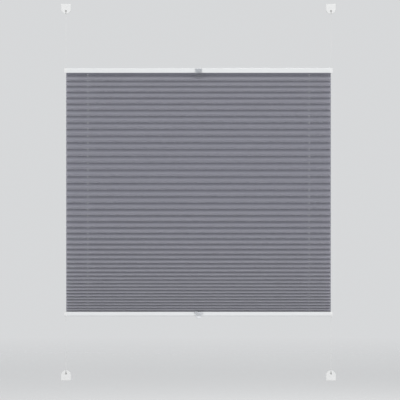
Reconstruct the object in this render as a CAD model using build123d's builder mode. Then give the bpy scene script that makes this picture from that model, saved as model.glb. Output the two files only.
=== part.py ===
"""Pleated blind held on two taut cords between four clamps on a window sash.

X runs across the window, +Z is up and the room is towards -Y. The origin is the centre of the
whole blind's box. Depths are given as distances in front of the sash face, which is one plane
that all four clamps rest on.
"""

from build123d import *
import math
import os

os.makedirs("parts", exist_ok=True)

SIDES = {"left": -1, "right": 1}
ENDS = {"upper": 1, "lower": -1}

# Driving dimensions, in millimetres
blind_width = 800  # over the end caps of a rail
sash_edge = 552.5  # from the middle of the sash to its upper or lower edge
sash_thickness = 18  # the rim of the sash that each clamp grips at rest
cord_depth = 13  # from the sash face to the plane midway between the two cords

rail_depth = 21
rail_height = 14
rail_wall = 1.2
cap_length = 8
cloth_gap = 712  # between the two rails as the blind hangs

cord_diameter = 1.0
cord_bend = 4  # radius of each turn inside a rail
cord_inset = 4.8  # from the end of a rail to its cord
cord_crossing = 0.8  # inside a rail one cord runs this much above the middle and the other below
cord_setback = 4.5  # the cords run through the cloth this far behind the shoes' cord line
guide_from_middle = 330

shoe_width = 30
shoe_length = 30
shoe_beyond_edge = 9
shoe_face = 17.5  # depth of the shoe's front face
pocket_from_tip = 8.8

# Worked out from the driving dimensions
grip_plate = 2.2
grip_gap = 0.2
hook_pad_thickness = 0.8
hook_lip = 1.5
front_reach = cord_depth + rail_depth / 2 + grip_gap + grip_plate
back_reach = sash_thickness + hook_pad_thickness + hook_lip
sash_y = (front_reach - back_reach) / 2
cord_y = sash_y - cord_depth
cloth_cord_y = cord_y + cord_setback
cord_x = blind_width / 2 - cord_inset
half_gap = cloth_gap / 2
shoe_end = sash_edge + shoe_beyond_edge
shoe_tip = shoe_end - shoe_length
pocket_z = shoe_tip + pocket_from_tip


def front_plane(depth):
    """Plane facing the room at a depth in front of the sash face. Its sketch axes are X and Z."""
    return Plane.XZ.offset(depth - sash_y)


def write(name, piece):
    """Label a finished piece with its node name and write it as one STEP file."""
    piece.part.label = name
    export_step(piece.part, f"parts/{name}.step")


# ---------------------------------------------------------------- rails

chamber_width = rail_depth - 2 * rail_wall - 0.4
chamber_low = 6.0  # the cord chamber, measured from the rail's cloth side
chamber_high = 12.6
cord_level = half_gap + 9.3
shoulder = 4.5
strip_low = 1.4  # the strip chamber, measured from the rail's cloth side
strip_high = 4.4
strip_chamber_width = 18
mouth_width = 14
profile_length = blind_width - 2 * cap_length


def rail_box(end, low, high, width):
    """Rectangle across a rail's section between two levels above its cloth side."""
    with Locations((cord_y, end * (half_gap + (low + high) / 2))):
        return Rectangle(width, high - low)


def rail_outline(end):
    """Outer section of a rail, with rounded shoulders away from the cloth."""
    with BuildSketch() as outline:
        rail_box(end, 0, rail_height, rail_depth)
        levels = outline.vertices().group_by(Axis.Y)
        outer, inner = (levels[-1], levels[0]) if end > 0 else (levels[0], levels[-1])
        fillet(outer, radius=shoulder)
        fillet(inner, radius=0.6)
    return outline.sketch


def cord_chamber(end, clearance):
    """Section of the chamber that the cords cross in, less a clearance all round."""
    with BuildSketch() as chamber:
        rail_box(end, chamber_low + clearance, chamber_high - clearance, chamber_width - 2 * clearance)
        levels = chamber.vertices().group_by(Axis.Y)
        fillet(levels[-1] if end > 0 else levels[0], radius=shoulder - rail_wall)
    return chamber.sketch


for end_name, end in (("top", 1), ("bottom", -1)):
    with BuildPart() as rail:
        with BuildSketch(Plane.YZ.offset(-profile_length / 2)):
            add(rail_outline(end))
            add(cord_chamber(end, 0), mode=Mode.SUBTRACT)
            with Locations((cord_y, end * (half_gap + (strip_low + strip_high) / 2))):
                Rectangle(strip_chamber_width, strip_high - strip_low, mode=Mode.SUBTRACT)
            with Locations((cord_y, end * (half_gap + strip_low / 2))):
                Rectangle(mouth_width, strip_low, mode=Mode.SUBTRACT)
        extrude(amount=profile_length)
        for side in SIDES.values():
            with BuildSketch(Plane.XY.offset(end * (half_gap + strip_high))):
                with Locations((side * guide_from_middle, cloth_cord_y)):
                    Circle(2.4)
            extrude(amount=end * (chamber_low - strip_high + 0.1), mode=Mode.SUBTRACT)
    write(f"{end_name}_rail", rail)

# ---------------------------------------------------------------- end caps and cord guides

plug_length = 12
channel_width = 2.8
channel_half = 1.4
guide_length = 15
nozzle_radius = 2.2


def cut_room(x_low, x_high, y, z_low, z_high):
    """Remove a box one channel wide from the current part."""
    with Locations(((x_low + x_high) / 2, y, (z_low + z_high) / 2)):
        Box(abs(x_high - x_low), channel_width, abs(z_high - z_low), mode=Mode.SUBTRACT)


for end_name, end in (("top", 1), ("bottom", -1)):
    for side_name, side in SIDES.items():
        cap_root = side * profile_length / 2
        level = end * cord_level
        with BuildPart() as cap:
            with BuildSketch(Plane.YZ.offset(cap_root)):
                add(rail_outline(end))
            extrude(amount=side * cap_length)
            rim = cap.faces().filter_by(Axis.X).sort_by(Axis.X)[-1 if side > 0 else 0]
            fillet(rim.edges(), radius=0.5)
            with BuildSketch(Plane.YZ.offset(cap_root)):
                add(cord_chamber(end, 0.15))
            extrude(amount=-side * plug_length)
            # the cord drops in from outside, turns through a quarter circle and runs inwards
            turn_out = side * (cord_x + channel_half)
            cut_room(side * (cord_x - cord_bend - 1.2), turn_out, cord_y,
                     level - end * channel_half, level + end * 3)
            cut_room(cap_root - side * (plug_length + 1), turn_out, cord_y,
                     level - end * channel_half, level + end * channel_half)
            with BuildSketch(Plane.XY.offset(level)):
                with Locations((side * cord_x, cord_y)):
                    Circle(channel_half)
            extrude(amount=end * (half_gap + rail_height - cord_level + 1), mode=Mode.SUBTRACT)
        write(f"{end_name}_{side_name}_end_cap", cap)

        # the guide on this side turns the cord that comes from the other side, behind its own side's cord
        guide_x = side * guide_from_middle
        inner_end = guide_x - side * 10
        outer_end = inner_end + side * guide_length
        with BuildPart() as guide:
            with BuildSketch(Plane.YZ.offset(min(inner_end, outer_end))):
                add(cord_chamber(end, 0.15))
            extrude(amount=guide_length)
            with BuildSketch(Plane.XY.offset(end * (half_gap + strip_high + 0.1))):
                with Locations((guide_x, cloth_cord_y)):
                    Circle(nozzle_radius)
            extrude(amount=end * (chamber_low - strip_high + 0.5))
            cut_room(inner_end - side, guide_x + side * channel_half, cloth_cord_y,
                     end * (half_gap + chamber_low + 0.6), level + end * channel_half)
            cut_room(inner_end - side, outer_end + side, cord_y,
                     level - end * channel_half, level + end * channel_half)
            with BuildSketch(Plane.XY.offset(end * (half_gap + strip_high - 0.5))):
                with Locations((guide_x, cloth_cord_y)):
                    Circle(channel_half)
            extrude(amount=end * 4, mode=Mode.SUBTRACT)
        write(f"{end_name}_{side_name}_cord_guide", guide)

# ---------------------------------------------------------------- pleated cloth and its strips

strip_width = 15.6
strip_thickness = 1.6
strip_level = 2.4  # underside of a strip, above the rail's cloth side
strip_hole = 2.2

cloth_width = 789
cloth_thickness = 0.3
leg_length = 20  # cloth between two folds
front_fold_share = 0.62  # of a pitch: the front folds hang a little lower than half way between the back folds
back_folds = 46
pitch_top = 15.4
pitch_widest = 20.4
pitch_bottom = 8.4
widest_at = 0.3  # share of the way down
first_fold_drop = 7.8  # from the top rail to the first back fold
last_fold_rise = 2.4  # from the bottom rail to the last back fold
flange_front = 4.6  # the cloth leaves a rail this far in front of the cords
flange_back = 6.5
punch_radius = 1.4
folds_forward = 0.8  # the folds stand this far in front of the middle of the rails


def pitch_share(share):
    """Pleat pitch before scaling: the cloth's own weight opens the upper pleats most."""
    if share < widest_at:
        return pitch_top + (pitch_widest - pitch_top) * math.sin(math.pi / 2 * share / widest_at)
    below = (share - widest_at) / (1 - widest_at)
    return pitch_bottom + (pitch_widest - pitch_bottom) * math.cos(math.pi / 2 * below) ** 2


def pleat_pitches():
    """Heights of the whole pleats, from the top down, scaled to fill the gap."""
    raw = [pitch_share((i + 0.5) / (back_folds - 1)) for i in range(back_folds - 1)]
    scale = (cloth_gap - first_fold_drop - last_fold_rise) / sum(raw)
    return [pitch * scale for pitch in raw]


def half_depth(pitch):
    """Distance of a fold from the cord plane, for legs of one length."""
    return math.sqrt(leg_length**2 - (pitch / 2) ** 2) / 2


def cloth_line():
    """Folded line of the cloth's section, from the upper strip to the lower one."""
    pitches = pleat_pitches()
    flange = half_gap + strip_level - cloth_thickness / 2
    line = [(cord_y + flange_back, flange), (cord_y - flange_front, flange)]
    z = half_gap - first_fold_drop
    middle_y = cord_y - folds_forward
    for above, below in zip([pitches[0]] + pitches, pitches + [pitches[-1]]):
        line.append((middle_y + half_depth((above + below) / 2), z))
        line.append((middle_y - half_depth(below), z - front_fold_share * below))
        z -= below
    line.pop()
    return line + [(cord_y - flange_front, -flange), (cord_y + flange_back, -flange)]


def beside(line, distance):
    """Points of a folded line moved sideways by a distance, mitred at each fold."""
    runs = [(Vector(*end) - Vector(*start)).normalized() for start, end in zip(line, line[1:])]
    normals = [Vector(-run.Y, run.X) for run in runs]
    moved = []
    for point, before, after in zip(line, normals[:1] + normals, normals + normals[-1:]):
        moved.append(Vector(*point) + (before + after) * (distance / (1 + before.dot(after))))
    return moved


with BuildPart() as cloth:
    front_side = beside(cloth_line(), cloth_thickness / 2)
    back_side = beside(cloth_line(), -cloth_thickness / 2)
    with BuildSketch(Plane.YZ.offset(-cloth_width / 2)):
        with BuildLine():
            Polyline(*front_side, *reversed(back_side), close=True)
        make_face()
    extrude(amount=cloth_width)
    for side in SIDES.values():
        with Locations((side * guide_from_middle, cloth_cord_y, 0)):
            Cylinder(punch_radius, cloth_gap + 20, mode=Mode.SUBTRACT)
        # the two flanges stop short of the end caps
        for end in ENDS.values():
            trim_middle = (side * (profile_length / 2 + cap_length / 2 - 1), cord_y, end * (half_gap + strip_high / 2))
            with Locations(trim_middle):
                Box(cap_length, rail_depth, strip_high, mode=Mode.SUBTRACT)
write("pleated_cloth", cloth)

for end_name, end in (("top", 1), ("bottom", -1)):
    with BuildPart() as strip:
        with BuildSketch(Plane.YZ.offset(-profile_length / 2 + 2)):
            rail_box(end, strip_level, strip_level + strip_thickness, strip_width)
        extrude(amount=profile_length - 4)
        for side in SIDES.values():
            with Locations((side * guide_from_middle, cloth_cord_y, end * (half_gap + strip_level))):
                Cylinder(strip_hole, 3 * strip_thickness, mode=Mode.SUBTRACT)
    write(f"{end_name}_cloth_strip", strip)

# ---------------------------------------------------------------- grips

grip_clip_width = 19
grip_tab_width = 24.5
grip_tab_straight = 4
grip_arm = 1.2
grip_barb = 1.0
rail_front = rail_depth / 2


def grip(end, clip_top, clip_foot, tab_top, tab_tip, tip_width):
    """Clear clip on a rail's front lip with a tapered tab that hangs below. Levels are along +Z."""
    lip = end * half_gap
    with BuildPart() as clip:
        with BuildSketch(front_plane(cord_depth + rail_front + grip_gap)) as plate:
            with Locations((0, (clip_top + clip_foot) / 2)):
                Rectangle(grip_clip_width, clip_top - clip_foot)
            with BuildLine():
                Polyline(
                    (-grip_tab_width / 2, tab_top),
                    (grip_tab_width / 2, tab_top),
                    (grip_tab_width / 2, tab_top - grip_tab_straight),
                    (tip_width / 2, tab_tip),
                    (-tip_width / 2, tab_tip),
                    (-grip_tab_width / 2, tab_top - grip_tab_straight),
                    close=True,
                )
            make_face()
            fillet(plate.vertices(), radius=1.2)
        extrude(amount=grip_plate)
        fillet(clip.faces().sort_by(Axis.Y)[0].edges(), radius=0.6)
        arm_front = cord_y - rail_front - grip_gap - grip_plate / 2
        barb_back = cord_y - mouth_width / 2 + grip_gap + grip_barb
        with Locations((0, (arm_front + barb_back) / 2, lip - end * (grip_gap + grip_arm / 2))):
            Box(grip_clip_width - 3, barb_back - arm_front, grip_arm)
        with Locations((0, barb_back - grip_barb / 2, lip + end * 0.4)):
            Box(grip_clip_width - 3, grip_barb, 2 * grip_arm)
    return clip


write("top_grip", grip(1, half_gap + 13, half_gap - 2, half_gap - 0.5, half_gap - 15, 15))
bottom_lip = -half_gap + grip_gap + grip_arm
write("bottom_grip", grip(-1, bottom_lip, -half_gap - 9, bottom_lip, -half_gap - rail_height - 6, 11))

# ---------------------------------------------------------------- cords

cord_points = {}
for side_name, side in SIDES.items():
    outer_x = side * cord_x
    inner_x = -side * guide_from_middle
    level = cord_level - side * cord_crossing
    bead_half = 1.7
    anchor_z = pocket_z - bead_half
    cord_points[side_name] = [
        (outer_x, cord_y, anchor_z),
        (outer_x, cord_y, level),
        (inner_x, cloth_cord_y, level),
        (inner_x, cloth_cord_y, -level),
        (outer_x, cord_y, -level),
        (outer_x, cord_y, -anchor_z),
    ]
    with BuildPart() as cord:
        with BuildLine():
            route = FilletPolyline(*cord_points[side_name], radius=cord_bend)
        with BuildSketch(Plane(origin=route @ 0, z_dir=route % 0)):
            Circle(cord_diameter / 2)
        sweep(path=route)
    expected = route.length * math.pi * (cord_diameter / 2) ** 2
    print(side_name, "cord length", round(route.length, 1), "bend radius", cord_bend,
          "volume over section times length", round(cord.part.volume / expected, 4))
    write(f"{side_name}_cord", cord)

# ---------------------------------------------------------------- clamps and tension shoes

plate_thickness = 1.5
plate_width = 20
pad_thickness = 1.0
plate_foot = sash_edge - 18
plate_head = sash_edge + 7.6
channel_reach = 13.3  # the guide channel runs this far behind the sash face
tongue_width = 16.6
tongue_low = sash_edge + 0.4
tongue_high = sash_edge + 5.8
tongue_front = 4.8  # behind the sash face
lip_foot = sash_edge - 15
screw_z = sash_edge + 3.1
screw_radius = 1.5
screw_tip = 17
head_radius = 2.75
head_height = 2.0
ring_thickness = 0.6
slide_gap = 0.2


for end_name, end in ENDS.items():
    for side_name, side in SIDES.items():
        corner = f"{end_name}_{side_name}"
        x = side * cord_x

        def span(depth_back, depth_front, z_low, z_high, width, mode=Mode.ADD):
            """Block centred on the cord's line, between two depths and two heights."""
            centre_y = sash_y - (depth_back + depth_front) / 2
            with Locations((x, centre_y, end * (z_low + z_high) / 2)):
                Box(width, depth_front - depth_back, z_high - z_low, mode=mode)

        def rod(depth_back, depth_front, z, radius, mode=Mode.ADD):
            """Round bar along Y between two depths."""
            with BuildSketch(front_plane(depth_back)) as disc:
                with Locations((x, end * z)):
                    Circle(radius)
            extrude(disc.sketch, amount=depth_front - depth_back, mode=mode)

        with BuildPart() as shoe:
            with BuildSketch(front_plane(0.5)):
                with BuildLine():
                    shoulder_z = end * (shoe_tip + shoe_width / 2)
                    left, right = x - shoe_width / 2, x + shoe_width / 2
                    Line((left, shoulder_z), (left, end * shoe_end))
                    Line((left, end * shoe_end), (right, end * shoe_end))
                    Line((right, end * shoe_end), (right, shoulder_z))
                    ThreePointArc((right, shoulder_z), (x, end * shoe_tip), (left, shoulder_z))
                make_face()
            extrude(amount=shoe_face - 0.5)
            square_corners = shoe.edges().filter_by(Axis.Y).group_by(Axis.Z)
            fillet(square_corners[-1] if end > 0 else square_corners[0], radius=1.5)
            fillet(shoe.faces().sort_by(Axis.Y)[0].edges(), radius=2.2)
            # seat for the clamp plate, room for the screw head, then the cord's slot and pocket
            inner_depth = pad_thickness + plate_thickness
            span(0, inner_depth + 0.1, plate_foot - 0.2, plate_head + 0.2, plate_width + 0.4, Mode.SUBTRACT)
            rod(inner_depth, inner_depth + head_height + 0.8, screw_z, head_radius + 0.6, Mode.SUBTRACT)
            slot_depth = cord_depth - 0.9
            span(slot_depth, shoe_face + 1, shoe_tip - 1, pocket_z, 1.8, Mode.SUBTRACT)
            rod(slot_depth - 1.2, shoe_face + 1, pocket_z, 2.6, Mode.SUBTRACT)
        write(f"{corner}_tension_shoe", shoe)

        with BuildPart() as bead:
            with Locations((x, cord_y, end * pocket_z)):
                Cylinder(bead_half, 2 * bead_half)
            fillet(bead.edges(), radius=0.3)
        write(f"{corner}_cord_bead", bead)

        with BuildPart() as bracket:
            span(pad_thickness, inner_depth, plate_foot, plate_head, plate_width)
            bottom_corners = bracket.edges().filter_by(Axis.Y).group_by(Axis.Z)
            fillet(bottom_corners[0] if end > 0 else bottom_corners[-1], radius=3)
            cheek = (plate_width - tongue_width) / 2 - slide_gap
            span(-channel_reach, pad_thickness, tongue_low, plate_head, plate_width)
            span(-channel_reach - 1, pad_thickness, tongue_low - 1, tongue_high + slide_gap,
                 plate_width - 2 * cheek, Mode.SUBTRACT)
            rod(pad_thickness - 1, inner_depth + 1, screw_z, screw_radius + 0.05, Mode.SUBTRACT)
        write(f"{corner}_clamp_bracket", bracket)

        with BuildPart() as face_pad:
            span(0, pad_thickness, plate_foot + 1.5, sash_edge - 1, plate_width - 2)
            fillet(face_pad.edges().filter_by(Axis.Y), radius=1.5)
        write(f"{corner}_face_pad", face_pad)

        lip_back = sash_thickness + hook_pad_thickness
        with BuildPart() as hook:
            span(-lip_back - hook_lip, -tongue_front, tongue_low, tongue_high, tongue_width)
            span(-lip_back - hook_lip, -lip_back, lip_foot, tongue_high, tongue_width)
            back_corner = hook.edges().filter_by(Axis.X).group_by(Axis.Y)[-1].sort_by(Axis.Z)
            fillet(back_corner[-1 if end > 0 else 0], radius=1.2)
            rod(-lip_back - hook_lip - 1, -tongue_front + 1, screw_z, screw_radius + 0.05, Mode.SUBTRACT)
        write(f"{corner}_clamp_hook", hook)

        with BuildPart() as hook_pad:
            span(-lip_back, -sash_thickness, lip_foot + 1, sash_edge - 1, tongue_width - 2)
            fillet(hook_pad.edges().filter_by(Axis.Y), radius=1.5)
        write(f"{corner}_hook_pad", hook_pad)

        with BuildPart() as screw:
            rod(-screw_tip, inner_depth, screw_z, screw_radius)
            chamfer(screw.faces().sort_by(Axis.Y)[-1].edges(), length=0.4)
            rod(inner_depth, inner_depth + head_height, screw_z, head_radius)
            fillet(screw.faces().sort_by(Axis.Y)[0].edges(), radius=0.5)
            with BuildSketch(front_plane(inner_depth + head_height)):
                with Locations((x, end * screw_z)):
                    RegularPolygon(1.0, 6, major_radius=False)
            extrude(amount=-1.3, mode=Mode.SUBTRACT)
        write(f"{corner}_clamp_screw", screw)

        ring_front = pad_thickness - slide_gap
        with BuildPart() as ring:
            rod(ring_front - ring_thickness, ring_front, screw_z, head_radius - 0.15)
            rod(ring_front - ring_thickness, ring_front, screw_z, screw_radius, Mode.SUBTRACT)
        write(f"{corner}_retaining_ring", ring)
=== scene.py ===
"""Dresses the clamp-on pleated blind: cords, pleated cloth, rails, grips and sash clamps.

Everything is in metres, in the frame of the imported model: +Z up, -Y towards the room.
"""

import logging
import math
from dataclasses import dataclass, field
from enum import Enum

import bpy
import numpy as np
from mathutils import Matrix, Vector


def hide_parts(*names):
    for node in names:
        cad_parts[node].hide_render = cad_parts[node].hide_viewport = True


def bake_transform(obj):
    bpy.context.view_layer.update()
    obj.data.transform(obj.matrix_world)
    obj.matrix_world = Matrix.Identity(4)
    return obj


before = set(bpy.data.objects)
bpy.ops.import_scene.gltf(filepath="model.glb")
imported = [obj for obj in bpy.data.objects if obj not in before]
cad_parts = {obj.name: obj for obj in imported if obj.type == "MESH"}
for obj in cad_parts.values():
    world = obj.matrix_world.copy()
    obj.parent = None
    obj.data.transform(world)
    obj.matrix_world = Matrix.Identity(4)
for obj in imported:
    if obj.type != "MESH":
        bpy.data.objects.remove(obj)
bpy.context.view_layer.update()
log = logging.getLogger("pleated_blind")

Colour = tuple[float, float, float]
Point = tuple[float, float, float]


class Side(Enum):
    """The blind's two sides, as seen from the room."""

    LEFT = -1
    RIGHT = 1

    @property
    def label(self) -> str:
        """The side's word in node names."""
        return self.name.lower()


class Rail(Enum):
    """The two sliding rails; the value is the sign of their height."""

    TOP = 1
    BOTTOM = -1

    @property
    def label(self) -> str:
        """The rail's word in node names."""
        return self.name.lower()

    @property
    def body(self) -> str:
        """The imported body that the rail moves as."""
        return f"{self.label}_rail_assembly"

    @property
    def clamp_row(self) -> str:
        """The word for the pair of clamps beyond this rail."""
        return "upper" if self is Rail.TOP else "lower"


# ---------------------------------------------------------------- node trees


class NodeBench:
    """Adds nodes to one node tree and joins them."""

    def __init__(self, tree: bpy.types.NodeTree) -> None:
        """Starts on a tree.

        Args:
            tree: the shader or geometry tree that the nodes go into.
        """
        self.tree = tree

    def add(self, kind: str, *inputs: object, named: dict[str, object] | None = None,
            **settings: object) -> bpy.types.Node:
        """Adds one node.

        Args:
            kind: the node's type name.
            inputs: values or sockets for the node's inputs, in order; None leaves one alone.
            named: values or sockets for inputs by name.
            settings: the node's own properties.

        Returns:
            The new node.
        """
        node = self.tree.nodes.new(kind)
        for key, value in settings.items():
            setattr(node, key, value)
        wanted = [(node.inputs[i], value) for i, value in enumerate(inputs) if value is not None]
        wanted += [(node.inputs[key], value) for key, value in (named or {}).items()]
        for socket, value in wanted:
            if isinstance(value, bpy.types.NodeSocket):
                self.tree.links.new(value, socket)
            else:
                socket.default_value = value
        return node

    def math(self, operation: str, *inputs: object) -> bpy.types.NodeSocket:
        """Adds a Math node and returns its value."""
        return self.add("ShaderNodeMath", *inputs, operation=operation).outputs[0]

    def vector(self, x: object, y: object, z: object) -> bpy.types.NodeSocket:
        """Combines three numbers into a vector."""
        return self.add("ShaderNodeCombineXYZ", x, y, z).outputs[0]

    def noise(self, place: bpy.types.NodeSocket, size: float, detail: float) -> bpy.types.NodeSocket:
        """Adds a Noise Texture.

        Args:
            place: the coordinates, in metres.
            size: width of its largest blotches, in metres.
            detail: octaves of finer noise.

        Returns:
            Its value, about 0.5 on average.
        """
        named = {"Vector": place, "Scale": 1 / size, "Detail": detail}
        return self.add("ShaderNodeTexNoise", named=named).outputs["Fac"]

    def spread(self, value: bpy.types.NodeSocket, low: float, high: float) -> bpy.types.NodeSocket:
        """Maps a value from 0.3-0.7, where noise mostly lies, to low-high."""
        return self.add("ShaderNodeMapRange", value, 0.3, 0.7, low, high).outputs[0]


# ---------------------------------------------------------------- finishes


@dataclass(frozen=True)
class Finish:
    """A surface with a base colour, faint mottling and a fine relief."""

    name: str
    slot: str
    colour: Colour
    roughness: float
    grain_size: float = 0.0006
    grain_depth: float = 0.00002
    mottle: float = 0.02
    mottle_size: float = 0.03
    specular: float = 0.5

    def material(self) -> bpy.types.Material:
        """Builds the finish.

        Returns:
            A new material whose nodes give the finish.
        """
        material = bpy.data.materials.new(self.name)
        material.use_nodes = True
        material.node_tree.nodes.clear()
        bench = NodeBench(material.node_tree)
        place = self.place(bench)
        shader = bench.add("ShaderNodeBsdfPrincipled", named={
            "Base Color": self.tint(bench, place),
            "Roughness": self.gloss(bench, place),
            "Normal": self.relief(bench, place),
            "Specular IOR Level": self.specular,
        })
        self.body(shader)
        bench.add("ShaderNodeOutputMaterial", shader.outputs[0])
        return material

    def place(self, bench: NodeBench) -> bpy.types.NodeSocket:
        """The coordinates that the pattern lies in, in metres."""
        return bench.add("ShaderNodeTexCoord").outputs["Object"]

    def tint(self, bench: NodeBench, place: bpy.types.NodeSocket) -> bpy.types.NodeSocket:
        """The mottled base colour."""
        blotches = bench.noise(place, self.mottle_size, 3)
        return self.between(bench, bench.spread(blotches, 0, 1), 1 - self.mottle, 1 + self.mottle)

    def between(self, bench: NodeBench, share: bpy.types.NodeSocket, low: float,
                high: float) -> bpy.types.NodeSocket:
        """The base colour, from darker to lighter.

        Args:
            bench: where the node is added.
            share: 0 for the darker colour, 1 for the lighter.
            low: the darker colour's share of the base colour.
            high: the lighter colour's share of it.

        Returns:
            The mixed colour.
        """
        darker, lighter = ([level * part for part in self.colour] + [1] for level in (low, high))
        mix = bench.add("ShaderNodeMix", data_type="RGBA")
        bench.tree.links.new(share, mix.inputs["Factor"])
        mix.inputs[6].default_value, mix.inputs[7].default_value = darker, lighter
        return mix.outputs[2]

    def gloss(self, bench: NodeBench, place: bpy.types.NodeSocket) -> bpy.types.NodeSocket:
        """Roughness, which wanders a little over the surface."""
        patches = bench.noise(place, self.mottle_size / 4, 4)
        return bench.spread(patches, self.roughness - 0.04, self.roughness + 0.04)

    def relief(self, bench: NodeBench, place: bpy.types.NodeSocket) -> bpy.types.NodeSocket:
        """The bumped normal."""
        grain = bench.noise(place, self.grain_size, 2)
        return bench.add("ShaderNodeBump", named={"Height": grain, "Distance": self.grain_depth}).outputs[0]

    def body(self, shader: bpy.types.Node) -> None:
        """Sets what is constant over the whole surface; a plain finish sets nothing."""


@dataclass(frozen=True)
class PowderCoat(Finish):
    """A white powder coat on aluminium or steel: satin, with a fine orange peel."""

    coat: float = 0.25

    def body(self, shader: bpy.types.Node) -> None:
        """Adds the coat's thin gloss."""
        shader.inputs["Coat Weight"].default_value = self.coat
        shader.inputs["Coat Roughness"].default_value = 0.25


@dataclass(frozen=True)
class ClearPlastic(Finish):
    """A clear moulding that lets what lies behind it show."""

    transmission: float = 1.0
    refraction: float = 1.46

    def body(self, shader: bpy.types.Node) -> None:
        """Makes the plastic see-through."""
        shader.inputs["Transmission Weight"].default_value = self.transmission
        shader.inputs["IOR"].default_value = self.refraction


@dataclass(frozen=True)
class Plate(Finish):
    """Bright plated steel."""

    def body(self, shader: bpy.types.Node) -> None:
        """Makes the surface metallic."""
        shader.inputs["Metallic"].default_value = 1.0


@dataclass(frozen=True)
class PleatedWeave(Finish):
    """A plain polyester weave, whose threads follow the cloth through its folds."""

    thread: float = 0.0005
    slub_width: float = 0.0012
    slub_stretch: float = 0.06
    sheen: float = 1.0
    sheen_tint: Colour = (0.93, 0.93, 1.0)

    def place(self, bench: NodeBench) -> bpy.types.NodeSocket:
        """The cloth's own map: across the blind and along the flat cloth, in metres."""
        return bench.add("ShaderNodeUVMap", uv_map=PleatedCloth.MAP).outputs[0]

    def threads(self, bench: NodeBench, place: bpy.types.NodeSocket, axis: int) -> bpy.types.NodeSocket:
        """One set of threads.

        Args:
            bench: where the nodes are added.
            place: the cloth's map.
            axis: 0 for threads counted across the blind, 1 for along the cloth.

        Returns:
            The threads' height, from 0 between them to 1 on top.
        """
        along = bench.add("ShaderNodeSeparateXYZ", place).outputs[axis]
        wave = bench.math("SINE", bench.math("MULTIPLY", along, math.tau / self.thread))
        return bench.math("MULTIPLY_ADD", wave, 0.5, 0.5)

    def tint(self, bench: NodeBench, place: bpy.types.NodeSocket) -> bpy.types.NodeSocket:
        """Grey threads with slubs that run across the blind, and painted shade that darkens the gaps between
        the threads.

        Args:
            bench: where the nodes are added.
            place: the cloth's map.

        Returns:
            The cloth's colour.
        """
        scale = (self.slub_stretch, 1, 1)
        stretched = bench.add("ShaderNodeMapping", place, named={"Scale": scale}).outputs[0]
        slubs = bench.noise(stretched, self.slub_width, 3)
        # painted shade: the colour is darker between the threads, where the weave's relief sinks
        painted_gap_shade = bench.math("MULTIPLY", self.threads(bench, place, 0), self.threads(bench, place, 1))
        share = bench.math("MULTIPLY_ADD", painted_gap_shade, 0.35, bench.spread(slubs, 0, 0.65))
        return self.between(bench, share, 1 - self.mottle, 1 + self.mottle)

    def relief(self, bench: NodeBench, place: bpy.types.NodeSocket) -> bpy.types.NodeSocket:
        """Threads that stand over and under each other."""
        height = bench.math("ADD", self.threads(bench, place, 0), self.threads(bench, place, 1))
        return bench.add("ShaderNodeBump", named={"Height": height, "Distance": self.grain_depth}).outputs[0]

    def body(self, shader: bpy.types.Node) -> None:
        """Adds the weave's soft sheen.

        Args:
            shader: the finish's shader.
        """
        shader.inputs["Sheen Weight"].default_value = self.sheen
        shader.inputs["Sheen Roughness"].default_value = 0.5
        shader.inputs["Sheen Tint"].default_value = (*self.sheen_tint, 1)


@dataclass(frozen=True)
class Braid(Finish):
    """A fine polyester braid, whose strands cross in a lattice round the cord."""

    pitch: float = 0.0014

    def relief(self, bench: NodeBench, place: bpy.types.NodeSocket) -> bpy.types.NodeSocket:
        """Slanting strands, both ways.

        Args:
            bench: where the nodes are added.
            place: the coordinates, in metres.

        Returns:
            The bumped normal.
        """
        axes = bench.add("ShaderNodeSeparateXYZ", place).outputs
        run = bench.math("ADD", axes[0], axes[2])
        waves = []
        for lean in (1, -1):
            slanted = bench.math("MULTIPLY_ADD", axes[1], lean, run)
            waves.append(bench.math("SINE", bench.math("MULTIPLY", slanted, math.tau / self.pitch)))
        height = bench.math("MAXIMUM", *waves)
        return bench.add("ShaderNodeBump", named={"Height": height, "Distance": self.grain_depth}).outputs[0]


WHITE_ALUMINIUM = PowderCoat(
    name="white_powder_coat", slot="white_aluminium", colour=(0.78, 0.79, 0.795), roughness=0.38,
    grain_size=0.0007, grain_depth=0.000008, mottle=0.008,
)
WHITE_STEEL = PowderCoat(
    name="white_enamel", slot="white_steel", colour=(0.78, 0.785, 0.79), roughness=0.32,
    grain_size=0.0011, grain_depth=0.000012, mottle=0.01,
)
WHITE_PLASTIC = Finish(
    name="white_moulding", slot="white_plastic", colour=(0.82, 0.82, 0.815), roughness=0.42,
    grain_size=0.0005, grain_depth=0.00001, mottle=0.008,
)
STRIP_PLASTIC = Finish(
    name="strip_moulding", slot="strip_plastic", colour=(0.66, 0.66, 0.64), roughness=0.45,
    grain_size=0.0008, grain_depth=0.00002, mottle=0.015,
)
CLEAR_PLASTIC = ClearPlastic(
    name="clear_moulding", slot="clear_plastic", colour=(0.90, 0.91, 0.93), roughness=0.10,
    grain_size=0.002, grain_depth=0.000006, mottle=0.01,
)
CLOTH_GREY = PleatedWeave(
    name="grey_weave", slot="cloth_grey", colour=(0.252, 0.252, 0.297), roughness=0.85,
    grain_size=0.0005, grain_depth=0.00006, mottle=0.12,
)
CORD_WHITE = Braid(
    name="white_braid", slot="cord_white", colour=(0.80, 0.80, 0.79), roughness=0.7,
    grain_size=0.0004, grain_depth=0.00005, mottle=0.03,
)
ZINC_STEEL = Plate(
    name="bright_zinc", slot="zinc_steel", colour=(0.62, 0.63, 0.66), roughness=0.3,
    grain_size=0.0015, grain_depth=0.00001, mottle=0.06, mottle_size=0.004,
)
PAD_RUBBER = Finish(
    name="grey_pad", slot="pad_rubber", colour=(0.30, 0.30, 0.30), roughness=0.8,
    grain_size=0.0004, grain_depth=0.00004, mottle=0.05,
)


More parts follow.
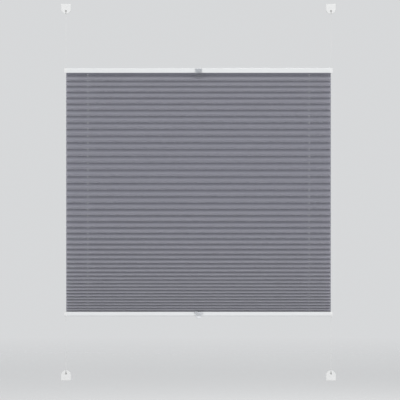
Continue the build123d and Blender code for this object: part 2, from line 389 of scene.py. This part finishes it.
class Wardrobe:
    """Keeps one material for each finish and puts them on pieces."""

    def __init__(self) -> None:
        """Starts with no materials made."""
        self.made: dict[str, bpy.types.Material] = {}

    def material(self, finish: Finish) -> bpy.types.Material:
        """The finish's material, made when it is first asked for.

        Args:
            finish: what the surface is.

        Returns:
            The one material of that finish.
        """
        if finish.name not in self.made:
            self.made[finish.name] = finish.material()
        return self.made[finish.name]

    def dress_node(self, node: str, finish: Finish) -> None:
        """Gives a CAD node its finish.

        Args:
            node: the node's name.
            finish: what its surface is.
        """
        piece = bpy.data.objects[node]
        for slot in piece.material_slots:
            slot.material = self.material(finish)
        log.info("%s: %s", node, finish.name)

    def dress_piece(self, piece: bpy.types.Object, finish: Finish) -> None:
        """Gives a piece made here its finish.

        Args:
            piece: the mesh object.
            finish: what its surface is.
        """
        piece.data.materials.clear()
        piece.data.materials.append(self.material(finish))
        log.info("%s: %s, %d faces", piece.name, finish.name, len(piece.data.polygons))


# ---------------------------------------------------------------- mesh helpers


def evaluated_mesh(piece: bpy.types.Object) -> bpy.types.Mesh:
    """The mesh that an object's modifiers, curve or nodes give, as plain data.

    Args:
        piece: an object in the scene.

    Returns:
        A new mesh with all its attributes.
    """
    graph = bpy.context.evaluated_depsgraph_get()
    shown = piece.evaluated_get(graph)
    return bpy.data.meshes.new_from_object(shown, preserve_all_data_layers=True, depsgraph=graph)


def link_piece(name: str, data: bpy.types.ID) -> bpy.types.Object:
    """Puts a new object in the scene, at the origin.

    Args:
        name: the object's name.
        data: its mesh or curve.

    Returns:
        The new object.
    """
    piece = bpy.data.objects.new(name, data)
    bpy.context.scene.collection.objects.link(piece)
    return piece


def set_weights(piece: bpy.types.Object, weights: np.ndarray) -> None:
    """Refreshes the piece's mesh data; no shares are stored on it.

    Args:
        weights: not used.
    """
    piece.data.update()


def heights(mesh: bpy.types.Mesh) -> np.ndarray:
    """Each vertex's height.

    Args:
        mesh: any mesh.

    Returns:
        One height for each vertex, in metres.
    """
    places = np.empty(len(mesh.vertices) * 3, np.float32)
    mesh.vertices.foreach_get("co", places)
    return places.reshape(-1, 3)[:, 2].astype(float)


# ---------------------------------------------------------------- tension cords


@dataclass
class TensionCord:
    """One taut cord, from an upper shoe through both rails to the lower shoe on the same side.

    Each rail carries the cord over to the blind's other side, so the two cords keep the rails level.
    The cord is made in two lengths that meet in the middle of the cloth, one for each rail.
    """

    side: Side
    wardrobe: Wardrobe
    diameter: float = 0.0010
    cut_length: float = 2.5208
    outer_depth: float = -0.0102
    inner_depth: float = -0.0057
    outer_run: float = 0.3952
    inner_run: float = 0.330
    bead_level: float = 0.5386
    rail_level: float = 0.3653
    crossing: float = 0.0008  # one cord runs this much above the rail's middle and the other below
    before_turn: float = 0.008
    round_steps: int = 10

    def route(self, rail: Rail) -> list[Point]:
        """The route of one length of the cord.

        Args:
            rail: the rail that this length runs through.

        Returns:
            Its points, from the shoe's bead to the middle of the cloth.
        """
        near, far = self.side.value * self.outer_run, -self.side.value * self.inner_run
        front, back = self.outer_depth, self.inner_depth
        level, turn = self.rail_level - self.side.value * self.crossing, self.before_turn
        inwards = -self.side.value
        points = [
            (near, front, self.bead_level),
            (near, front, level + turn),
            (near, front, level),
            (near + inwards * turn, front, level),
            (far - inwards * turn, back, level),
            (far, back, level),
            (far, back, level - turn),
            (far, back, 0.0),
        ]
        return [(x, y, rail.value * z) for x, y, z in points]

    def spline(self, rail: Rail) -> bpy.types.Curve:
        """The route as a smooth curve.

        Args:
            rail: the rail that this length of the cord runs through.

        Returns:
            A curve of one open spline.
        """
        curve = bpy.data.curves.new("cord_route", "CURVE")
        curve.dimensions = "3D"
        points = self.route(rail)
        line = curve.splines.new("NURBS")
        line.points.add(len(points) - 1)
        for control, point in zip(line.points, points):
            control.co = (*point, 1)
        line.order_u = 3
        line.use_endpoint_u = True
        line.resolution_u = 24
        return curve

    def centreline(self, rail: Rail) -> list[Vector]:
        """The middle of one length of the cord, read from its smooth curve.

        Args:
            rail: the rail that this length runs through.

        Returns:
            The curve's own points, from the bead to the middle of the cloth.
        """
        guide = link_piece("cord_guide_line", self.spline(rail))
        mesh = evaluated_mesh(guide)
        bpy.data.objects.remove(guide)
        return [vertex.co.copy() for vertex in mesh.vertices]

    def tube(self, line: list[Vector]) -> bpy.types.Mesh:
        """A closed tube round a line that nowhere runs along the Y axis.

        Args:
            line: the tube's middle, from end to end.

        Returns:
            The tube's mesh, faces outwards.
        """
        steps, radius = self.round_steps, self.diameter / 2
        places, faces = [], []
        for index, middle in enumerate(line):
            before, after = line[max(index - 1, 0)], line[min(index + 1, len(line) - 1)]
            ahead = (after - before).normalized()
            across = ahead.cross(Vector((0, 1, 0))).normalized()
            beside = across.cross(ahead)
            for step in range(steps):
                angle = math.tau * step / steps
                places.append(middle + radius * (math.cos(angle) * across + math.sin(angle) * beside))
        for ring in range(len(line) - 1):
            for step in range(steps):
                here, there = ring * steps + step, ring * steps + (step + 1) % steps
                faces.append((here, here + steps, there + steps, there))
        last = (len(line) - 1) * steps
        faces += [tuple(range(steps)), tuple(last + step for step in reversed(range(steps)))]
        mesh = bpy.data.meshes.new("cord")
        mesh.from_pydata([tuple(place) for place in places], [], faces)
        for face in mesh.polygons:
            face.use_smooth = len(face.vertices) == 4
        return mesh

    def follow(self, mesh: bpy.types.Mesh) -> np.ndarray:
        """How far each vertex follows the rail.

        Args:
            mesh: one length of the cord.

        Returns:
            One share for each vertex: 0 at the shoe and in the middle of the cloth, 1 in the rail.
        """
        level = np.abs(heights(mesh))
        held = self.before_turn
        stops = [0.0, self.rail_level - held, self.rail_level + held, self.bead_level]
        return np.interp(level, stops, [0.0, 1.0, 1.0, 0.0])

    def build(self) -> None:
        for rail in Rail:
            line = self.centreline(rail)
            piece = link_piece(f"{self.side.label}_cord_{rail.clamp_row}_length", self.tube(line))
            self.wardrobe.dress_piece(piece, CORD_WHITE)
            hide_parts(f"{self.side.label}_cord")
            rail.body
            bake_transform(piece)
            set_weights(piece, self.follow(piece.data))


# ---------------------------------------------------------------- pleated cloth


@dataclass
class PleatedCloth:
    """The pleated cloth: one sheet that hangs in folds between the two rails.

    It is made in two halves, one for each rail, that meet at the fold nearest the middle. A share of its
    rail's slide is worked out for each vertex, such that all the pleats would shut at the same time, but the
    shares are not stored, so the cloth does not follow the rails.
    """

    MAP = "cloth_map"
    PLACE = "fold_place"
    PLACE_STEP = 0.0001  # places are rounded to this share of a leg
    RIPPLE_ALONG = 0.05  # the ripple's change from one fold to the next
    RIPPLE_ACROSS = 7.0  # ripples in a metre of the blind's width

    wardrobe: Wardrobe
    width: float = 0.789
    thickness: float = 0.0003
    leg_length: float = 0.020
    front_fold_share: float = 0.62
    back_folds: int = 46
    gap: float = 0.712
    top_pitch: float = 0.0154
    widest_pitch: float = 0.0204
    bottom_pitch: float = 0.0084
    widest_at: float = 0.3
    first_fold_drop: float = 0.0078
    last_fold_rise: float = 0.0024
    rail_plane: float = -0.0102
    fold_plane: float = -0.0110
    cord_plane: float = -0.0057
    flange_front: float = 0.0046
    flange_back: float = 0.0065
    flange_rise: float = 0.00225
    punch_radius: float = 0.0014
    punch_place: float = 0.330
    sag: float = 0.0003
    ripple: float = 0.00012
    leg_steps: int = 6
    columns: int = 33
    seed: float = 7.0
    middle_fold: int = 39
    rail_travel: float = 0.33
    tree: bpy.types.NodeTree = field(init=False)

    @property
    def folds(self) -> int:
        """All the sheet's folds and edges, from one flange's edge to the other's."""
        return 2 * self.back_folds + 3

    def socket(self, name: str, kind: str) -> None:
        """Adds a named input to the tree."""
        self.tree.interface.new_socket(name=name, in_out="INPUT", socket_type=f"NodeSocket{kind}")

    def sizes(self) -> dict[str, float | int]:
        """The tree's inputs that are the same for both halves.

        Returns:
            Each input's value, by its name.
        """
        return {
            "Width": self.width, "Thickness": self.thickness, "Leg Length": self.leg_length,
            "Front Fold Share": self.front_fold_share, "Back Folds": self.back_folds, "Gap": self.gap,
            "Top Pitch": self.top_pitch, "Widest Pitch": self.widest_pitch, "Bottom Pitch": self.bottom_pitch,
            "Widest At": self.widest_at, "First Fold Drop": self.first_fold_drop,
            "Last Fold Rise": self.last_fold_rise, "Rail Plane": self.rail_plane,
            "Fold Plane": self.fold_plane, "Cord Plane": self.cord_plane,
            "Flange Front": self.flange_front, "Flange Back": self.flange_back,
            "Flange Rise": self.flange_rise,
            "Punch Radius": self.punch_radius, "Punch Place": self.punch_place,
            "Sag": self.sag, "Ripple": self.ripple, "Leg Steps": self.leg_steps, "Columns": self.columns,
            "Seed": self.seed,
        }

    def grow_tree(self) -> None:
        """Builds the tree: pitches, fold line, sheet, thickness, punched holes."""
        self.tree = bpy.data.node_groups.new("pleated_sheet", "GeometryNodeTree")
        for name, value in self.sizes().items():
            self.socket(name, "Int" if isinstance(value, int) else "Float")
        self.socket("First Fold", "Int")
        self.socket("Last Fold", "Int")
        self.socket("Material", "Material")
        self.tree.interface.new_socket(name="Geometry", in_out="OUTPUT", socket_type="NodeSocketGeometry")
        bench = NodeBench(self.tree)
        given = bench.add("NodeGroupInput").outputs
        pitches = self.pitch_line(bench, given)
        line = self.fold_line(bench, given, pitches)
        sheet = self.sheet(bench, given, line)
        solid = self.thicken(bench, given, sheet)
        punched = self.punch(bench, given, solid)
        real = bench.add("GeometryNodeRealizeInstances", punched).outputs[0]
        dressed = bench.add("GeometryNodeSetMaterial", real, named={"Material": given["Material"]}).outputs[0]
        bench.add("NodeGroupOutput", dressed)

    def pitch_line(self, bench: NodeBench, given: bpy.types.NodeOutputs) -> bpy.types.NodeSocket:
        """A row of points, one for each whole pleat, that carry its pitch and the drop down to it.

        The pitch widens from the top to its widest and narrows again to the bottom, because the cloth's
        own weight opens the upper pleats most. The pitches are scaled together to fill the gap.

        Args:
            bench: where the nodes are added.
            given: the tree's inputs.

        Returns:
            The row of points, which carry "pitch" and "drop".
        """
        count = bench.math("SUBTRACT", given["Back Folds"], 1)
        points = bench.add("GeometryNodeMeshLine", count).outputs[0]
        index = bench.add("GeometryNodeInputIndex").outputs[0]
        share = bench.math("DIVIDE", bench.math("ADD", index, 0.5), count)
        before = bench.math("DIVIDE", share, given["Widest At"])
        rise = bench.math("SINE", bench.math("MULTIPLY", before, math.pi / 2))
        widening = bench.math("SUBTRACT", given["Widest Pitch"], given["Top Pitch"])
        upper = bench.math("MULTIPLY_ADD", widening, rise, given["Top Pitch"])
        past = bench.math("DIVIDE", bench.math("SUBTRACT", share, given["Widest At"]),
                          bench.math("SUBTRACT", 1.0, given["Widest At"]))
        fall = bench.math("POWER", bench.math("COSINE", bench.math("MULTIPLY", past, math.pi / 2)), 2.0)
        narrowing = bench.math("SUBTRACT", given["Widest Pitch"], given["Bottom Pitch"])
        lower = bench.math("MULTIPLY_ADD", narrowing, fall, given["Bottom Pitch"])
        is_upper = bench.math("LESS_THAN", share, given["Widest At"])
        raw = bench.add("GeometryNodeSwitch", is_upper, lower, upper, input_type="FLOAT").outputs[0]
        total = bench.add("GeometryNodeAttributeStatistic", points, None, raw).outputs["Sum"]
        room = bench.math("SUBTRACT", bench.math("SUBTRACT", given["Gap"], given["First Fold Drop"]),
                          given["Last Fold Rise"])
        pitch = bench.math("MULTIPLY", raw, bench.math("DIVIDE", room, total))
        drop = bench.add("GeometryNodeAccumulateField", pitch).outputs["Trailing"]
        stored = bench.add("GeometryNodeStoreNamedAttribute", points, None, "pitch", pitch).outputs[0]
        return bench.add("GeometryNodeStoreNamedAttribute", stored, None, "drop", drop).outputs[0]

    def sampled(self, bench: NodeBench, source: bpy.types.NodeSocket, name: str,
                index: bpy.types.NodeSocket) -> bpy.types.NodeSocket:
        """Reads a stored number from another row of points, with the index held inside the row.

        Args:
            bench: where the nodes are added.
            source: the row of points.
            name: the stored number's name.
            index: which point.

        Returns:
            The number.
        """
        stored = bench.add("GeometryNodeInputNamedAttribute", name, data_type="FLOAT").outputs[0]
        return bench.add("GeometryNodeSampleIndex", source, stored, index, clamp=True).outputs[0]

    def fold_depth(self, bench: NodeBench, given: bpy.types.NodeOutputs,
                   pitch: bpy.types.NodeSocket) -> bpy.types.NodeSocket:
        """How far a fold stands from the fold plane when the legs keep their length.

        Args:
            bench: where the nodes are added.
            given: the tree's inputs.
            pitch: the pleat's height.

        Returns:
            The distance, in metres.
        """
        flat = bench.math("POWER", given["Leg Length"], 2.0)
        upright = bench.math("POWER", bench.math("DIVIDE", pitch, 2.0), 2.0)
        return bench.math("DIVIDE", bench.math("SQRT", bench.math("SUBTRACT", flat, upright)), 2.0)

    def fold_line(self, bench: NodeBench, given: bpy.types.NodeOutputs,
                  pitches: bpy.types.NodeSocket) -> bpy.types.NodeSocket:
        """The sheet's section as a row of points: flange edge, flange, back and front folds, flange, edge.

        Args:
            bench: where the nodes are added.
            given: the tree's inputs.
            pitches: the row of points that carry each pleat's pitch and drop.

        Returns:
            The row of points, laid out in the blind's middle section.
        """
        count = bench.math("MULTIPLY_ADD", given["Back Folds"], 2.0, 3.0)
        points = bench.add("GeometryNodeMeshLine", count).outputs[0]
        index = bench.add("GeometryNodeInputIndex").outputs[0]
        pleat = bench.math("FLOOR", bench.math("DIVIDE", bench.math("SUBTRACT", index, 2), 2.0))
        is_front = bench.math("FLOORED_MODULO", index, 2.0)
        above = self.sampled(bench, pitches, "pitch", bench.math("SUBTRACT", pleat, 1))
        below = self.sampled(bench, pitches, "pitch", pleat)
        is_last = bench.math("GREATER_THAN", pleat, bench.math("SUBTRACT", given["Back Folds"], 1.5))
        drop = self.sampled(bench, pitches, "drop", pleat)
        drop = bench.math("ADD", drop, bench.math("MULTIPLY", below, is_last))
        half_gap = bench.math("DIVIDE", given["Gap"], 2.0)
        back_level = bench.math("SUBTRACT", bench.math("SUBTRACT", half_gap, given["First Fold Drop"]), drop)
        upper_leg = bench.math("MULTIPLY", below, given["Front Fold Share"])
        front_level = bench.math("SUBTRACT", back_level, upper_leg)
        mean = bench.math("DIVIDE", bench.math("ADD", above, below), 2.0)
        back_y = bench.math("ADD", given["Fold Plane"], self.fold_depth(bench, given, mean))
        front_y = bench.math("SUBTRACT", given["Fold Plane"], self.fold_depth(bench, given, below))
        fold = bench.add("GeometryNodeSwitch", is_front, bench.vector(0.0, back_y, back_level),
                         bench.vector(0.0, front_y, front_level), input_type="VECTOR").outputs[0]
        flange_level = bench.math("ADD", half_gap, given["Flange Rise"])
        edge_y = bench.math("ADD", given["Rail Plane"], given["Flange Back"])
        lip_y = bench.math("SUBTRACT", given["Rail Plane"], given["Flange Front"])
        last = bench.math("SUBTRACT", count, 1.0)
        from_end = bench.math("MINIMUM", index, bench.math("SUBTRACT", last, index))
        is_edge = bench.math("LESS_THAN", from_end, 0.5)
        end_sign = bench.math("SIGN", bench.math("SUBTRACT", bench.math("DIVIDE", last, 2.0), index))
        flange_y = bench.add("GeometryNodeSwitch", is_edge, lip_y, edge_y, input_type="FLOAT").outputs[0]
        flange = bench.vector(0.0, flange_y, bench.math("MULTIPLY", end_sign, flange_level))
        is_flange = bench.math("LESS_THAN", from_end, 1.5)
        place = bench.add("GeometryNodeSwitch", is_flange, fold, flange, input_type="VECTOR").outputs[0]
        return bench.add("GeometryNodeSetPosition", points, None, place).outputs[0]

    def sheet(self, bench: NodeBench, given: bpy.types.NodeOutputs,
              line: bpy.types.NodeSocket) -> bpy.types.NodeSocket:
        """The sheet's middle surface: a grid laid along the fold line, with sagging legs and a faint ripple.

        Args:
            bench: where the nodes are added.
            given: the tree's inputs.
            line: the row of points along the sheet's section.

        Returns:
            The surface, which carries its flat map and each vertex's place among the folds.
        """
        legs = bench.math("SUBTRACT", given["Last Fold"], given["First Fold"])
        rows = bench.math("MULTIPLY_ADD", legs, given["Leg Steps"], 1.0)
        grid = bench.add("GeometryNodeMeshGrid", 1.0, 1.0, given["Columns"], rows).outputs[0]
        spot = bench.add("ShaderNodeSeparateXYZ", bench.add("GeometryNodeInputPosition").outputs[0]).outputs
        across = bench.math("MULTIPLY", spot[0], given["Width"])
        place = bench.math("MULTIPLY_ADD", bench.math("SUBTRACT", 0.5, spot[1]), legs, given["First Fold"])
        place = bench.math("SNAP", bench.math("ADD", place, self.PLACE_STEP / 2), self.PLACE_STEP)
        last_leg = bench.math("SUBTRACT", given["Last Fold"], 1.0)
        leg = bench.math("MINIMUM", bench.math("FLOOR", place), last_leg)
        share = bench.math("SUBTRACT", place, leg)
        section = self.along_line(bench, line, leg, share)
        laid = self.relaxed(bench, given, across, place, share, section)
        flat = bench.vector(across, bench.math("MULTIPLY", place, given["Leg Length"]), 0.0)
        mapped = bench.add("GeometryNodeStoreNamedAttribute", grid, None, self.MAP, flat,
                           data_type="FLOAT2", domain="CORNER").outputs[0]
        placed = bench.add("GeometryNodeStoreNamedAttribute", mapped, None, self.PLACE, place).outputs[0]
        return bench.add("GeometryNodeSetPosition", placed, None, laid).outputs[0]

    def along_line(self, bench: NodeBench, line: bpy.types.NodeSocket, leg: bpy.types.NodeSocket,
                   share: bpy.types.NodeSocket) -> bpy.types.NodeOutputs:
        """A point on a straight leg of the fold line.

        Args:
            bench: where the nodes are added.
            line: the row of points along the sheet's section.
            leg: which leg.
            share: how far along it, from 0 to 1.

        Returns:
            The point's three coordinates.
        """
        here = bench.add("GeometryNodeInputPosition").outputs[0]
        straight = bench.add("ShaderNodeMix", data_type="VECTOR")
        self.tree.links.new(share, straight.inputs["Factor"])
        for index, end in ((leg, 4), (bench.math("ADD", leg, 1.0), 5)):
            sample = bench.add("GeometryNodeSampleIndex", line, here, index,
                               data_type="FLOAT_VECTOR", clamp=True)
            self.tree.links.new(sample.outputs[0], straight.inputs[end])
        return bench.add("ShaderNodeSeparateXYZ", straight.outputs[1]).outputs

    def relaxed(self, bench: NodeBench, given: bpy.types.NodeOutputs, across: bpy.types.NodeSocket,
                place: bpy.types.NodeSocket, share: bpy.types.NodeSocket,
                section: bpy.types.NodeOutputs) -> bpy.types.NodeSocket:
        """Lets the straight legs sag a little and wander, but not where the rails hold the cloth.

        Args:
            bench: where the nodes are added.
            given: the tree's inputs.
            across: how far to the right the point lies.
            place: its place among the folds.
            share: how far along its leg it lies.
            section: its coordinates on the straight leg.

        Returns:
            The point's place in the blind.
        """
        last = bench.math("MULTIPLY_ADD", given["Back Folds"], 2.0, 1.0)
        free = bench.math("MINIMUM", bench.math("SUBTRACT", place, 1.0), bench.math("SUBTRACT", last, place))
        free = bench.add("ShaderNodeClamp", bench.math("DIVIDE", free, 2.0)).outputs[0]
        belly = bench.math("MULTIPLY", bench.math("MULTIPLY", share, bench.math("SUBTRACT", 1.0, share)), 4.0)
        sag = bench.math("MULTIPLY", bench.math("MULTIPLY", belly, given["Sag"]), free)
        wander = bench.add("ShaderNodeTexNoise", named={
            "Vector": bench.vector(across, bench.math("MULTIPLY", place, self.RIPPLE_ALONG), given["Seed"]),
            "Scale": self.RIPPLE_ACROSS, "Detail": 1.0,
        }).outputs["Color"]
        wander = bench.add("ShaderNodeVectorMath", wander, (0.5, 0.5, 0.5), operation="SUBTRACT").outputs[0]
        wander = bench.add("ShaderNodeSeparateXYZ", wander).outputs
        strength = bench.math("MULTIPLY", given["Ripple"], free)
        y = bench.math("MULTIPLY_ADD", wander[1], strength, section[1])
        z = bench.math("SUBTRACT", bench.math("MULTIPLY_ADD", wander[2], strength, section[2]), sag)
        return bench.vector(across, y, z)

    def thicken(self, bench: NodeBench, given: bpy.types.NodeOutputs,
                sheet: bpy.types.NodeSocket) -> bpy.types.NodeSocket:
        """Gives the sheet its thickness and closes its edges.

        Args:
            bench: where the nodes are added.
            given: the tree's inputs.
            sheet: the middle surface.

        Returns:
            A closed shell.
        """
        normal = bench.add("GeometryNodeInputNormal").outputs[0]
        half = bench.math("MULTIPLY", given["Thickness"], -0.5)
        shift = bench.add("ShaderNodeVectorMath", normal, None, None, half, operation="SCALE").outputs[0]
        lower = bench.add("GeometryNodeSetPosition", sheet, None, None, shift).outputs[0]
        upper = bench.add("GeometryNodeExtrudeMesh", lower, None, None, given["Thickness"], False).outputs[0]
        under = bench.add("GeometryNodeFlipFaces", lower).outputs[0]
        joined = bench.add("GeometryNodeJoinGeometry")
        for part in (upper, under):
            self.tree.links.new(part, joined.inputs[0])
        return bench.add("GeometryNodeMergeByDistance", joined.outputs[0], None, 0.00001).outputs[0]

    def punch(self, bench: NodeBench, given: bpy.types.NodeOutputs,
              solid: bpy.types.NodeSocket) -> bpy.types.NodeSocket:
        """Punches the two rows of holes that the cords run through.

        Args:
            bench: where the nodes are added.
            given: the tree's inputs.
            solid: the closed shell.

        Returns:
            The shell with its holes.
        """
        radius, length = given["Punch Radius"], given["Gap"]
        punch = bench.add("GeometryNodeMeshCylinder", 16, 1, 1, radius, length).outputs[0]
        cutter = bench.add("GeometryNodeMeshBoolean", operation="DIFFERENCE", solver="MANIFOLD")
        self.tree.links.new(solid, cutter.inputs["Mesh 1"])
        for side in Side:
            x = bench.math("MULTIPLY", given["Punch Place"], float(side.value))
            shift = bench.vector(x, given["Cord Plane"], 0.0)
            moved = bench.add("GeometryNodeTransform", punch, named={"Translation": shift}).outputs[0]
            self.tree.links.new(moved, cutter.inputs["Mesh 2"])
        return cutter.outputs[0]

    def half(self, rail: Rail) -> bpy.types.Object:
        """Makes one half of the cloth from the tree.

        Args:
            rail: the rail that the half hangs from or stands on.

        Returns:
            A plain mesh object.
        """
        first, last = (0, self.middle_fold) if rail is Rail.TOP else (self.middle_fold, self.folds - 1)
        piece = link_piece("sheet_maker", bpy.data.meshes.new("sheet_maker"))
        modifier = piece.modifiers.new("pleated_sheet", "NODES")
        modifier.node_group = self.tree
        values = {**self.sizes(), "First Fold": first, "Last Fold": last,
                  "Material": self.wardrobe.material(CLOTH_GREY)}
        for item in self.tree.interface.items_tree:
            if item.in_out == "INPUT":
                modifier[item.identifier] = values[item.name]
        mesh = evaluated_mesh(piece)
        bpy.data.objects.remove(piece)
        mesh.name = f"{rail.label}_half_of_cloth"
        return link_piece(f"pleated_cloth_{rail.clamp_row}_half", mesh)

    def fold_levels(self, mesh: bpy.types.Mesh) -> dict[int, float]:
        """Each fold's height, read back from the mesh.

        Args:
            mesh: one half of the cloth, whose vertices carry their place among the folds.

        Returns:
            The mean height of each fold, by its number.
        """
        places = np.empty(len(mesh.vertices), np.float32)
        mesh.attributes[self.PLACE].data.foreach_get("value", places)
        levels = heights(mesh)
        return {
            fold: float(levels[np.abs(places - fold) < 0.001].mean())
            for fold in range(1, self.folds - 1)
            if (np.abs(places - fold) < 0.001).any()
        }

    def follow(self, mesh: bpy.types.Mesh) -> np.ndarray:
        """How far each vertex follows its rail, so that all the pleats shut at the same time.

        Args:
            mesh: one half of the cloth.

        Returns:
            One share for each vertex: 0 at the middle fold and 1 in the rail.
        """
        levels = self.fold_levels(mesh)
        middle = levels[self.middle_fold]
        count = max(abs(fold - self.middle_fold) for fold in levels)
        reach = max(abs(level - middle) for level in levels.values())
        shut = (reach - self.rail_travel) / count
        shares = {}
        for fold, level in levels.items():
            distance = abs(level - middle)
            shares[distance] = (distance - shut * abs(fold - self.middle_fold)) / self.rail_travel
        distances = sorted(shares)
        known = [shares[distance] for distance in distances]
        return np.interp(np.abs(heights(mesh) - middle), distances, known)

    def build(self) -> None:
        self.grow_tree()
        for rail in Rail:
            piece = self.half(rail)
            self.wardrobe.dress_piece(piece, CLOTH_GREY)
            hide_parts("pleated_cloth")
            rail.body
            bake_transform(piece)
            set_weights(piece, self.follow(piece.data))


# ---------------------------------------------------------------- rails and clamps


@dataclass
class SlidingRail:
    """One rail with its end caps, cord guides, cloth strip and grip."""

    rail: Rail
    wardrobe: Wardrobe

    def build(self) -> None:
        """Dresses the rail's nodes."""
        self.wardrobe.dress_node(f"{self.rail.label}_rail", WHITE_ALUMINIUM)
        self.wardrobe.dress_node(f"{self.rail.label}_cloth_strip", STRIP_PLASTIC)
        self.wardrobe.dress_node(f"{self.rail.label}_grip", CLEAR_PLASTIC)
        for side in Side:
            self.wardrobe.dress_node(f"{self.rail.label}_{side.label}_end_cap", WHITE_PLASTIC)
            self.wardrobe.dress_node(f"{self.rail.label}_{side.label}_cord_guide", STRIP_PLASTIC)


@dataclass
class SashClamp:
    """One corner's tension shoe on its sash clamp."""

    rail: Rail
    side: Side
    wardrobe: Wardrobe

    @property
    def corner(self) -> str:
        """The corner's words in node names."""
        return f"{self.rail.clamp_row}_{self.side.label}"

    def build(self) -> None:
        """Dresses the clamp's nodes."""
        finishes = {
            "tension_shoe": WHITE_PLASTIC,
            "cord_bead": CORD_WHITE,
            "clamp_bracket": WHITE_STEEL,
            "face_pad": PAD_RUBBER,
            "clamp_hook": WHITE_STEEL,
            "hook_pad": PAD_RUBBER,
            "clamp_screw": ZINC_STEEL,
            "retaining_ring": ZINC_STEEL,
        }
        for part, finish in finishes.items():
            self.wardrobe.dress_node(f"{self.corner}_{part}", finish)


# ---------------------------------------------------------------- studio


@dataclass(frozen=True)
class SoftLight:
    """A soft square light that faces the blind."""

    name: str
    place: Point
    size: float
    power: float

    def build(self) -> None:
        """Hangs the light."""
        data = bpy.data.lights.new(self.name, "AREA")
        data.size = self.size
        data.energy = self.power
        lamp = bpy.data.objects.new(self.name, data)
        lamp.location = self.place
        lamp.rotation_euler = (-Vector(self.place)).to_track_quat("-Z", "Y").to_euler()
        bpy.context.scene.collection.objects.link(lamp)


@dataclass
class Studio:
    """Camera, floor, soft lights and a pale background."""

    distance: float = 10.0
    view_width: float = 1.194
    aim: Point = (0.0045, 0.0, -0.023)
    sensor: float = 36.0
    floor_level: float = -0.80
    floor_radius: float = 9.0
    floor_sides: int = 64
    floor_clear_from: float = 0.25  # share of the radius at which the paint starts to fade
    surround: Colour = (0.70, 0.71, 0.72)
    surround_strength: float = 0.97
    lights: tuple[SoftLight, ...] = (
        SoftLight("key", (-0.6, -2.2, 3.4), 2.0, 36),
        SoftLight("fill", (0.4, -3.6, -0.75), 2.4, 42),
        SoftLight("back", (0.8, 2.6, 2.2), 1.6, 30),
    )

    def camera(self) -> None:
        """A long lens far in front of the blind, level and square to it."""
        data = bpy.data.cameras.new("camera")
        data.sensor_width = self.sensor
        data.lens = self.sensor * self.distance / self.view_width
        data.clip_end = 100
        camera = bpy.data.objects.new("camera", data)
        x, y, z = self.aim
        camera.location = (x, y - self.distance, z)
        camera.rotation_euler = (math.pi / 2, 0, 0)
        bpy.context.scene.collection.objects.link(camera)
        bpy.context.scene.camera = camera

    def floor(self) -> None:
        """A pale round floor that fades into the background."""
        angles = [math.tau * step / self.floor_sides for step in range(self.floor_sides)]
        rim = [(math.cos(angle) * self.floor_radius, math.sin(angle) * self.floor_radius) for angle in angles]
        mesh = bpy.data.meshes.new("floor")
        mesh.from_pydata([(x, y, self.floor_level) for x, y in rim], [], [tuple(range(self.floor_sides))])
        floor = link_piece("floor", mesh)
        floor.data.materials.append(self.floor_paint())

    def floor_paint(self) -> bpy.types.Material:
        """Matt pale paint, clear towards the floor's rim.

        Returns:
            The floor's material.
        """
        material = bpy.data.materials.new("floor_paint")
        material.use_nodes = True
        material.node_tree.nodes.clear()
        bench = NodeBench(material.node_tree)
        place = bench.add("ShaderNodeTexCoord").outputs["Object"]
        level = bench.add("ShaderNodeVectorMath", place, (1, 1, 0), operation="MULTIPLY").outputs[0]
        out = bench.add("ShaderNodeVectorMath", level, operation="LENGTH").outputs["Value"]
        start = self.floor_radius * self.floor_clear_from
        fade = bench.add("ShaderNodeMapRange", out, start, self.floor_radius, 1.0, 0.0).outputs[0]
        paint = bench.add("ShaderNodeBsdfPrincipled", named={
            "Base Color": (0.78, 0.78, 0.78, 1), "Roughness": 0.9, "Specular IOR Level": 0.2, "Alpha": fade,
        })
        bench.add("ShaderNodeOutputMaterial", paint.outputs[0])
        return material

    def surroundings(self) -> None:
        """An even pale background that also lights the blind from all round."""
        world = bpy.data.worlds.new("surroundings")
        world.use_nodes = True
        backdrop = world.node_tree.nodes["Background"]
        backdrop.inputs["Color"].default_value = (*self.surround, 1)
        backdrop.inputs["Strength"].default_value = self.surround_strength
        bpy.context.scene.world = world

    def build(self) -> None:
        """Sets up everything but the blind."""
        self.camera()
        self.floor()
        self.surroundings()
        for light in self.lights:
            light.build()
        bpy.context.scene.view_settings.view_transform = "Standard"


# ---------------------------------------------------------------- the blind


def main() -> None:
    """Builds the scene: camera and cords first, then the cloth, the rails and the clamps."""
    logging.basicConfig(level=logging.INFO, format="%(message)s")
    Studio().build()
    wardrobe = Wardrobe()
    for side in Side:
        TensionCord(side, wardrobe).build()
    PleatedCloth(wardrobe).build()
    for rail in Rail:
        SlidingRail(rail, wardrobe).build()
        for side in Side:
            SashClamp(rail, side, wardrobe).build()


if __name__ == "__main__":
    main()
